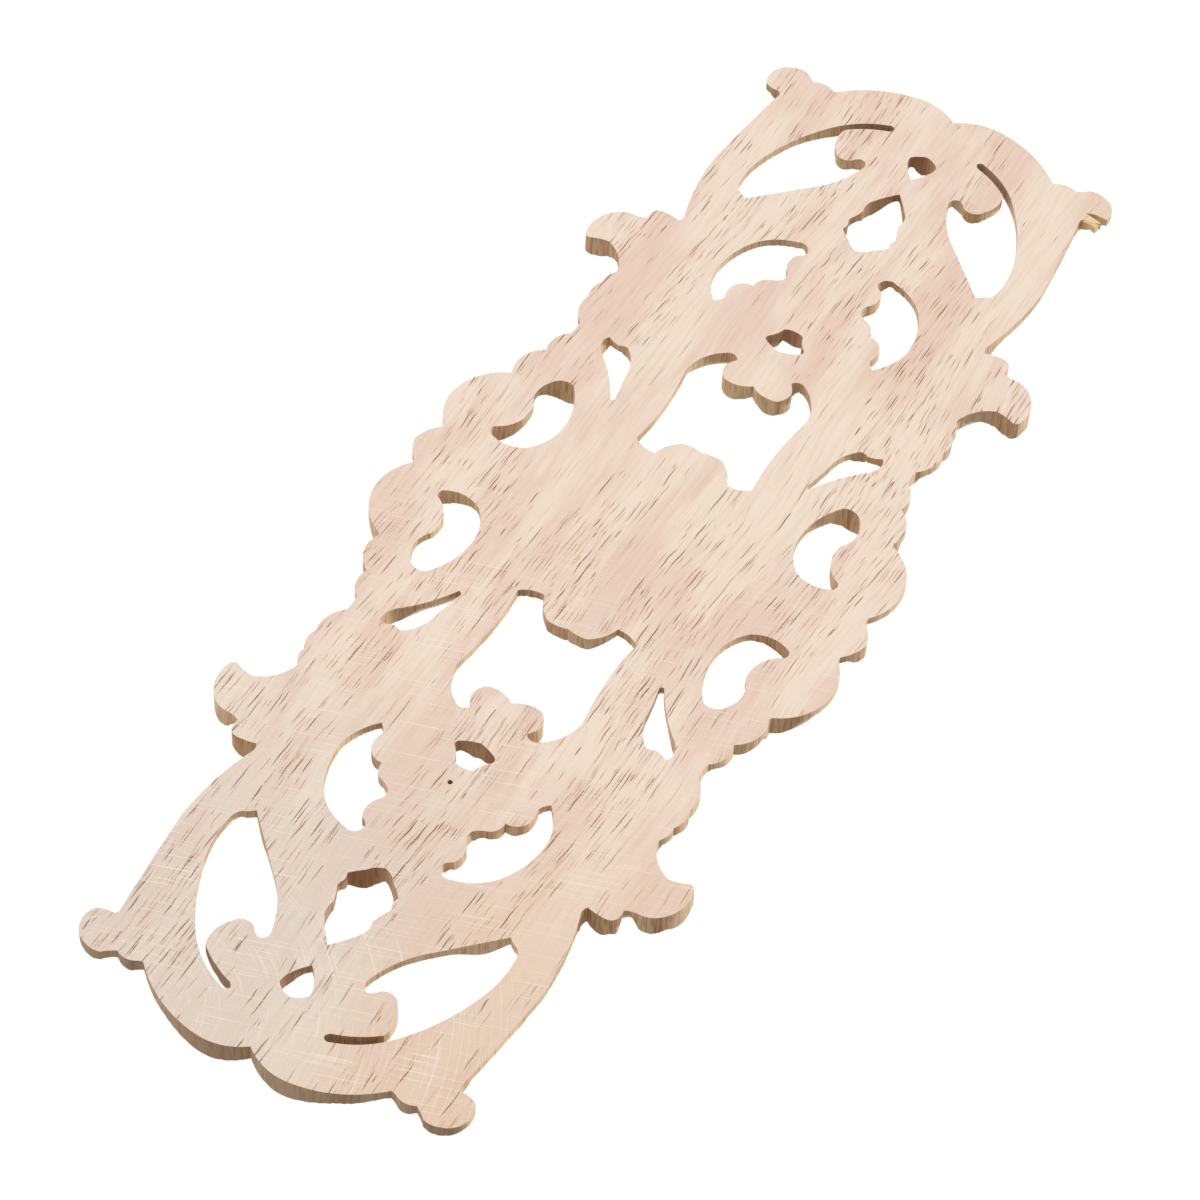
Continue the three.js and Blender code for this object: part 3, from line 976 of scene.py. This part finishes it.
@dataclass
class CarvedApplique:
    """The whole ornament: a pierced board with a sanded back, sawn edges and a carved front.

    Its sizes are in millimetres, and the cuts are those that vein the leaves.
    """

    length: float = 298.94
    width: float = 107.95
    drawn_length: float = 298.6
    drawn_width: float = 108.0
    facet: float = 0.004
    cell: float = 0.62
    weld: float = 0.001
    spare: float = 2.0
    cut_spacing: float = 2.6
    cut_length: float = 4.6
    cut_width: float = 1.0
    cut_depth: float = 1.5
    cut_lean: float = 2.6
    cut_from: float = 0.2
    cut_to: float = 0.86
    cut_line_steps: int = 8
    cut_line_ends: int = 2
    over_back: float = 0.5
    pin_place: Row = (-74.0, -0.3)
    pin_radius: float = 0.55
    pin_depth: float = 3.0
    pin_sides: int = 16
    crack_depth: float = 3.2
    sliver_sunk: float = 0.08
    sliver_depth: float = 1.7
    crease: float = 32.0
    hollow_shade_reach: int = 4
    hollow_shade_depth: float = 0.7
    relief: FrontRelief = field(default_factory=FrontRelief)
    back: SandedBack = field(default_factory=SandedBack)
    wall: SawnWall = field(default_factory=SawnWall)
    face: CarvedFace = field(default_factory=CarvedFace)

    def __post_init__(self) -> None:
        """Draws the quarter outlines and makes the finishes."""
        self.stretch = np.array((self.length / self.drawn_length, self.width / self.drawn_width))
        rim = [row for rows in RIM.values() for row in rows]
        drawn = [rim, *MIDDLE_HOLES.values(), *QUARTER_HOLES.values()]
        self.outlines = [arcs(rows, self.facet) for rows in drawn]
        self.finishes = [self.back.material(), self.wall.material(), self.face.material()]

    def quarter_edges(self) -> Thing:
        """The quarter's outlines as a mesh of edges on the drawing plane."""
        flat = [outline * self.stretch * MM for outline in self.outlines]
        return open_lines("quarter_edges", [np.column_stack([run, np.zeros(len(run))]) for run in flat])

    def board(self) -> Thing:
        """The pierced board: the quarter mirrored twice, filled and drawn out to its thickness."""
        thickness = self.relief.thickness + self.spare
        group = GroupTree("pierced_board", {"Thickness": thickness * MM, "Weld": self.weld * MM})
        bench, start = group.bench, group.start
        weld, whole = start.outputs["Weld"], start.outputs[0]
        for mirror in ((-1, 1, 1), (1, -1, 1)):
            turned = bench.step("GeometryNodeTransform", {0: whole, "Scale": mirror})
            whole = bench.step("GeometryNodeJoinGeometry", {0: [whole, turned]})
        whole = bench.step("GeometryNodeMergeByDistance", {0: whole, "Distance": weld})
        curve = bench.step("GeometryNodeMeshToCurve", {0: whole})
        sheet = bench.step("GeometryNodeFillCurve", {0: curve}, mode="TRIANGLES")
        up = bench.step("ShaderNodeCombineXYZ", {2: 1.0})
        wired = {"Mesh": sheet, "Offset": up, "Offset Scale": start.outputs["Thickness"], "Individual": False}
        raised = bench.step("GeometryNodeExtrudeMesh", wired, mode="FACES")
        under = bench.step("GeometryNodeFlipFaces", {0: sheet})
        solid = bench.step("GeometryNodeJoinGeometry", {0: [raised, under]})
        solid = bench.step("GeometryNodeMergeByDistance", {0: solid, "Distance": weld})
        upright = bench.step("GeometryNodeTransform", {0: solid, "Rotation": (math.pi / 2, 0, 0)})
        facing_back = bench.parts(bench.step("GeometryNodeInputNormal"))[1]
        group.end(upright, {self.finishes[0]: True, self.finishes[1]: facing_back.math("LESS_THAN", 0.5)})
        return group.run(self.quarter_edges(), NODE + "_visual")

    def carving(self) -> Carving:
        """The carved front, from one quarter mirrored twice and the gouge's own marks."""
        size = np.array((self.length, self.width)) + 2 * self.spare
        counts = [2 * round(s / self.cell / 2) for s in size]
        xs, zs = (np.linspace(-s / 2, s / 2, n + 1) for s, n in zip(size, counts))
        half_x, half_z = xs[counts[0] // 2:], zs[counts[1] // 2:]
        x, z = np.meshgrid(half_x / self.stretch[0], half_z / self.stretch[1], indexing="ij")
        quarter = self.relief.quarter(x, z, self.outlines)
        half = np.concatenate([quarter[:0:-1], quarter], axis=0)
        whole = np.concatenate([half[:, :0:-1], half], axis=1)
        x, z = np.meshgrid(xs, zs, indexing="ij")
        whole = whole + self.relief.tool_marks(x, z)
        return Carving(xs, zs, np.clip(whole, self.relief.thinnest, self.relief.thickness))

    def slab(self, front: Carving) -> Thing:
        """A closed slab from past the back to the carved front."""
        nx, nz = front.heights.shape
        x, z = np.meshgrid(front.xs, front.zs, indexing="ij")
        top = np.stack([x, -front.heights, z], axis=-1).reshape(-1, 3)
        number = np.arange(nx * nz).reshape(nx, nz)
        ring = np.concatenate([number[:, 0], number[-1, 1:], number[-2::-1, -1], number[0, -2:0:-1]])
        under = top[ring].copy()
        under[:, 1] = self.spare
        points = np.concatenate([top, under]) * MM
        corners = [number[:-1, :-1], number[1:, :-1], number[1:, 1:], number[:-1, 1:]]
        cells = np.stack(corners, axis=-1).reshape(-1, 4)
        low = nx * nz + np.arange(len(ring))
        sides = np.stack([ring, low, np.roll(low, -1), np.roll(ring, -1)], axis=-1)
        faces = [*cells.tolist(), *sides.tolist(), low[::-1].tolist()]
        made = new_object("carved_slab", points.tolist(), [], faces)
        made.data.materials.append(self.finishes[2])
        return made

    def vein_lines(self, front: Carving) -> Thing:
        """Lines on both flanks of each leaf, with the way that a vein cut leans at every point."""
        runs: list[Array] = []
        ways: list[Array] = []

        def surface(place: Array) -> Array:
            """A place on the drawing as a point on the carved front."""
            i, j = np.searchsorted(front.xs, place[:, 0]), np.searchsorted(front.zs, place[:, 1])
            return np.stack([place[:, 0], -front.heights[i, j], place[:, 1]], axis=1) * MM

        for style, rows in STRANDS.values():
            if style is not Section.LEAF:
                continue
            line = smooth_line(rows, self.cut_line_steps)[self.cut_line_ends:-self.cut_line_ends]
            way = np.gradient(line[:, :2], axis=0)
            way /= np.linalg.norm(way, axis=1, keepdims=True)
            normal = np.stack([-way[:, 1], way[:, 0]], axis=1) * line[:, 2:3]
            on_middle = not line[:, 0].any() or not line[:, 1].any()
            for side in (1,) if on_middle else (1, -1):
                inner = line[:, :2] + normal * side * self.cut_from - way * self.cut_lean / 2
                outer = line[:, :2] + normal * side * self.cut_to + way * self.cut_lean / 2
                middle = (inner + outer) / 2
                for sx, sz in ((1, 1), (1, -1), (-1, 1), (-1, -1)):
                    turn = self.stretch * (sx, sz)
                    runs.append(surface(middle * turn))
                    ways.append(surface(outer * turn) - surface(inner * turn))
        made = open_lines("vein_lines", runs)
        attribute = made.data.attributes.new(WAY, "FLOAT_VECTOR", "POINT")
        attribute.data.foreach_set("vector", np.concatenate(ways).astype(np.float32).ravel())
        return made

    def vein_cuts(self, source: Thing) -> Thing:
        """A row of slim gouge cuts along each line, every one leaning its own way."""
        group = GroupTree("vein_cuts", {
            "Spacing": self.cut_spacing * MM, "Length": self.cut_length * MM,
            "Width": self.cut_width * MM, "Depth": self.cut_depth * MM,
        })
        bench, start = group.bench, group.start
        curve = bench.step("GeometryNodeMeshToCurve", {0: start.outputs[0]})
        wired = {"Curve": curve, "Length": start.outputs["Spacing"]}
        dots = bench.step("GeometryNodeResampleCurve", wired, mode="LENGTH")
        ball = bench.step("GeometryNodeMeshUVSphere", {"Segments": 10, "Rings": 8, "Radius": 0.5})
        size = bench.step("ShaderNodeCombineXYZ", {
            0: start.outputs["Length"], 1: start.outputs["Width"], 2: start.outputs["Depth"]})
        slim = bench.step("GeometryNodeTransform", {0: ball, "Scale": size})
        way = bench.step("GeometryNodeInputNamedAttribute", {"Name": WAY}, data_type="FLOAT_VECTOR")
        turned = bench.step("FunctionNodeAlignRotationToVector", {"Vector": way}, axis="X")
        placed = bench.step("GeometryNodeInstanceOnPoints", {
            "Points": dots, "Instance": slim, "Rotation": turned})
        group.end(placed, {self.finishes[2]: True})
        return group.run(source, "vein_cuts_tool")

    def plug(self, name: str, outline: Rows, top: float, depth: float) -> Thing:
        """A straight-sided plug through the back, with the sawn finish.

        Args:
            name: its name.
            outline: its outline seen on the back, turning from along towards across, in millimetres.
            top: how far over the back it starts, less than 0 if it is sunk.
            depth: how far under the back it ends.

        Returns:
            A closed solid.
        """
        count = len(outline)
        points = [(x * MM, level * MM, z * MM) for level in (top, -depth) for x, z in outline]
        faces = [(i, (i + 1) % count, (i + 1) % count + count, i + count) for i in range(count)]
        faces += [tuple(range(count - 1, -1, -1)), tuple(range(count, 2 * count))]
        made = new_object(name, points, [], faces)
        made.data.materials.append(self.finishes[1])
        return made

    def small_cuts(self, made: Thing) -> Thing:
        """Drills the pin hole and tears the fibres at the root of one horn.

        Args:
            made: the carved piece; it is used up.

        Returns:
            The piece with both.
        """
        cx, cz = self.pin_place
        ring = [(cx + self.pin_radius * math.cos(a), cz + self.pin_radius * math.sin(a))
                for a in np.arange(self.pin_sides) * math.tau / self.pin_sides]
        pin = self.plug("pin_tool", ring, self.over_back, self.pin_depth)
        crack = self.plug("crack_tool", CRACK, self.over_back, self.crack_depth)
        sliver = self.plug("sliver", SLIVER, -self.sliver_sunk, self.sliver_depth)
        made = worked(worked(made, pin, Cut.TAKE_AWAY), crack, Cut.TAKE_AWAY)
        return worked(made, sliver, Cut.ADD)

    def dress(self, made: Thing) -> None:
        """Smooths the shading within each face of the wood, and keeps it sharp between them."""
        mesh = made.data
        mesh.shade_smooth()
        material = read(mesh.polygons, "material_index", kind=np.int32)
        normals = read(mesh.polygons, "normal", 3)
        edge_of_loop = read(mesh.loops, "edge_index", kind=np.int32)
        face_of_loop = np.repeat(np.arange(len(material)), read(mesh.polygons, "loop_total", kind=np.int32))
        order = np.argsort(edge_of_loop, kind="stable")
        edges, faces = edge_of_loop[order], face_of_loop[order]
        first = np.searchsorted(edges, np.arange(len(mesh.edges)))
        one, other = faces[first], faces[np.minimum(first + 1, len(faces) - 1)]
        bend = np.einsum("ij,ij->i", normals[one], normals[other])
        sawn = mesh.materials.find(self.wall.name)
        wall = (material[one] == sawn) & (material[other] == sawn)
        sharp = (material[one] != material[other]) | (wall & (bend < math.cos(math.radians(self.crease))))
        marks = mesh.attributes.get("sharp_edge") or mesh.attributes.new("sharp_edge", "BOOLEAN", "EDGE")
        marks.data.foreach_set("value", sharp)

    def mark_hollow_shade(self, made: Thing, front: Carving) -> None:
        """Writes how deep each point lies under the ground around it, from 0 to 1: the strength of the shade
        painted into the hollows of the front.
        """
        reach = self.hollow_shade_reach
        soft = front.heights
        for axis in (0, 0, 1, 1):
            soft = sum(np.roll(soft, k, axis) for k in range(-reach, reach + 1)) / (2 * reach + 1)
        hollow = np.clip((soft - front.heights) / self.hollow_shade_depth, 0, 1)
        places = read(made.data.vertices, "co", 3) / MM
        i = np.clip(np.searchsorted(front.xs, places[:, 0]), 1, len(front.xs) - 1)
        j = np.clip(np.searchsorted(front.zs, places[:, 2]), 1, len(front.zs) - 1)
        found = (hollow[i, j] + hollow[i - 1, j] + hollow[i, j - 1] + hollow[i - 1, j - 1]) / 4
        attribute = made.data.attributes.new(HOLLOW_SHADE, "FLOAT", "POINT")
        attribute.data.foreach_set("value", found.astype(np.float32))

    def build(self) -> Thing:
        """Saws, carves, dresses and mounts the piece."""
        front = self.carving()
        made = worked(self.board(), self.slab(front), Cut.KEEP_COMMON)
        LOG.info("pierced and carved: %d faces", len(made.data.polygons))
        made = worked(made, self.vein_cuts(self.vein_lines(front)), Cut.TAKE_AWAY)
        LOG.info("veins cut: %d faces", len(made.data.polygons))
        made = self.small_cuts(made)
        self.dress(made)
        self.mark_hollow_shade(made, front)
        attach(made, BODY)
        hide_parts(NODE)
        return made


# The studio


@dataclass(frozen=True)
class Sun:
    """One broad soft light: the way to it, its strength and how wide it looks, in degrees."""

    name: str
    towards: Row
    strength: float
    width: float


SUNS = (
    Sun("key", (0.42, 0.75, 0.5), 1.05, 14),
    Sun("fill", (-0.75, 0.5, -0.1), 0.6, 20),
    Sun("front", (0.6, -0.42, 0.68), 1.9, 8),
)


@dataclass
class Studio:
    """The floor, the light and the camera."""

    floor_height: float = -0.6
    floor_reach: float = 14.0
    sky: float = 0.4
    lens: float = 122.15
    sensor: float = 36.0
    sight: Row = (0.05, 80.0)
    place: Row = (-0.49072, 0.64237, 0.24456)
    right: Row = (0.4984, 0.0392, 0.8661)
    up: Row = (0.6559, 0.6362, -0.4062)

    def camera(self) -> None:
        """Stands the camera where the photograph was taken from."""
        data = bpy.data.cameras.new("camera")
        data.lens = self.lens
        data.sensor_width = self.sensor
        data.clip_start, data.clip_end = self.sight
        right = Vector(self.right).normalized()
        back = right.cross(Vector(self.up)).normalized()
        made = placed("camera", data)
        turn = Matrix((right, back.cross(right), back)).transposed().to_4x4()
        made.matrix_world = Matrix.Translation(self.place) @ turn
        bpy.context.scene.camera = made

    def floor(self) -> None:
        """Lays a plain pale floor well below the piece."""
        r, z = self.floor_reach, self.floor_height
        made = new_object("floor", [(-r, -r, z), (r, -r, z), (r, r, z), (-r, r, z)], [], [(0, 1, 2, 3)])
        material = bpy.data.materials.new("floor")
        material.use_nodes = True
        bench = Bench(material.node_tree)
        shader = bench.step("ShaderNodeBsdfPrincipled", {
            "Base Color": (0.92, 0.92, 0.92, 1), "Roughness": 0.9, "Specular IOR Level": 0.1,
            "Emission Color": (1, 1, 1, 1), "Emission Strength": 0.12})
        bench.add("ShaderNodeOutputMaterial", {0: shader})
        made.data.materials.append(material)

    def hang(self, sun: Sun) -> None:
        """Hangs one light."""
        data = bpy.data.lights.new(sun.name, "SUN")
        data.energy = sun.strength
        data.angle = math.radians(sun.width)
        made = placed(sun.name, data)
        made.rotation_mode = "QUATERNION"
        made.rotation_quaternion = Vector(sun.towards).to_track_quat("Z", "Y")

    def surround(self) -> None:
        """Soft light from all round, behind which the camera sees plain white."""
        world = bpy.data.worlds.new("studio")
        bpy.context.scene.world = world
        world.use_nodes = True
        bench = Bench(world.node_tree)
        seen = bench.add("ShaderNodeLightPath").outputs["Is Camera Ray"]
        soft = bench.step("ShaderNodeBackground", {"Color": (1, 0.99, 0.97, 1), "Strength": self.sky})
        plain = bench.step("ShaderNodeBackground", {"Color": (1, 1, 1, 1), "Strength": 1.0})
        both = bench.step("ShaderNodeMixShader", {0: seen, 1: soft, 2: plain})
        bench.add("ShaderNodeOutputWorld", {0: both})

    def build(self) -> None:
        """Sets the studio up: a key light over the back, a fill, and a lower light over the front."""
        self.camera()
        self.floor()
        self.surround()
        for sun in SUNS:
            self.hang(sun)
        bpy.context.scene.view_settings.view_transform = "Standard"


def main() -> None:
    """Builds the studio and the piece, and reports each."""
    logging.basicConfig(level=logging.INFO, format="%(name)s: %(message)s")
    Studio().build()
    LOG.info("studio is set")
    made = CarvedApplique().build()
    made.data.calc_loop_triangles()
    LOG.info("%s: %d triangles", made.name, len(made.data.loop_triangles))


if __name__ == "__main__":
    main()
